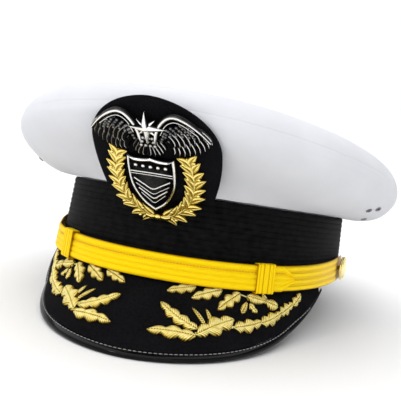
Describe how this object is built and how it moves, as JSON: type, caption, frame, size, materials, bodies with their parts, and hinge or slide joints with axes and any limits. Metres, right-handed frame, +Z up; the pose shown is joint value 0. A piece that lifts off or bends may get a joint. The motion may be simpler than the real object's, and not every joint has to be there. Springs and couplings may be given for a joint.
{
  "type": "military peaked cap",
  "caption": "Officer's peaked cap with a white cover, black ribbed band, padded mount with a metal badge, gold lace chin strap and an embroidered visor with a glossy bound edge.",
  "frame": {"origin": "centre of the bounding box's footprint, on the surface the cap rests on, touching it with the visor's edge and the back of the band", "axes": "+Y to the back of the cap, +Z up, +X to the wearer's left, which is on the right when seen from the front"},
  "size_m": [0.2354, 0.2762, 0.1338],
  "materials": {
    "white_cloth": "smooth twill, very fine weave",
    "black_mohair": "fine horizontal ribs, slight sheen",
    "black_cloth": "matt, felted",
    "fibre_board": "matt",
    "brown_leather": "smooth, semi-matt",
    "patent_leather": "high gloss, stitched",
    "bullion_gold": "metal thread, dull gold with glints",
    "gold_lace": "ribbed metallic lace",
    "gilt_metal": "polished",
    "silver_metal": "polished with dark recesses",
    "steel": "satin",
    "clear_vinyl": "clear, glossy",
    "lining_satin": "satin"
  },
  "bodies": {
    "frame": {"frame_shell": "fibre_board", "mohair_band": "black_mohair", "sweatband": "brown_leather", "sweatband_reed": "brown_leather", "visor_board": "black_cloth", "visor_lining": "black_cloth", "visor_binding": "patent_leather", "embroidery_left": "bullion_gold", "embroidery_right": "bullion_gold", "badge_mount": "black_cloth", "mount_bracket": "steel", "badge_laurel": "gilt_metal", "badge_wings": "silver_metal", "badge_post": "gilt_metal", "badge_washer": "steel", "button_stud_left": "gilt_metal", "button_stud_right": "gilt_metal"},
    "cover": {"cover_quarter_front_left": "white_cloth", "cover_quarter_rear_left": "white_cloth", "cover_quarter_rear_right": "white_cloth", "cover_quarter_front_right": "white_cloth", "cover_top": "white_cloth", "cover_neck": "white_cloth", "cover_hoop": "steel", "cover_stay": "steel", "cover_lining": "lining_satin", "cover_sweat_shield": "clear_vinyl", "cover_eyelet_left_low": "black_cloth", "cover_eyelet_left_front": "black_cloth", "cover_eyelet_left_rear": "black_cloth", "cover_eyelet_right_low": "black_cloth", "cover_eyelet_right_front": "black_cloth", "cover_eyelet_right_rear": "black_cloth"},
    "strap": {"strap_inner": "gold_lace", "strap_outer": "gold_lace"},
    "keeper_left": {"strap_keeper_left": "gold_lace"},
    "keeper_right": {"strap_keeper_right": "gold_lace"},
    "side_button_left": {"button_left": "gilt_metal"},
    "side_button_right": {"button_right": "gilt_metal"},
    "nut": {"badge_nut": "gilt_metal"}
  },
  "joints": [
    {"name": "cover_lift", "type": "slide", "parent": "frame", "child": "cover", "axis": [0, 0.1498, 0.9887], "range_m": [0, 0.12]},
    {"name": "strap_swing", "type": "hinge", "parent": "frame", "child": "strap", "pos_m": [0, 0.00062, 0.03411], "axis": [-1, 0, 0], "range_deg": [0, 8]},
    {"name": "keeper_left_slide", "type": "hinge", "parent": "strap", "child": "keeper_left", "pos_m": [-0.00845, -0.00614, 0.02707], "axis": [-0.036, 0.1159, 0.9926], "range_deg": [-5, 5]},
    {"name": "keeper_right_slide", "type": "hinge", "parent": "strap", "child": "keeper_right", "pos_m": [0.00845, -0.00614, 0.02707], "axis": [0.036, 0.1159, 0.9926], "range_deg": [-5, 5]},
    {"name": "side_button_left_turn", "type": "hinge", "parent": "frame", "child": "side_button_left", "pos_m": [0.08735, 0.00062, 0.03411], "axis": [0.9977, -0.0673, 0.0102], "continuous": true},
    {"name": "side_button_right_turn", "type": "hinge", "parent": "frame", "child": "side_button_right", "pos_m": [-0.08735, 0.00062, 0.03411], "axis": [-0.9977, -0.0673, 0.0102], "continuous": true},
    {"name": "badge_nut_turn", "type": "hinge", "parent": "frame", "child": "nut", "pos_m": [0, -0.10737, 0.09578], "axis": [0, 0.835, 0.5503], "continuous": true}
  ]
}
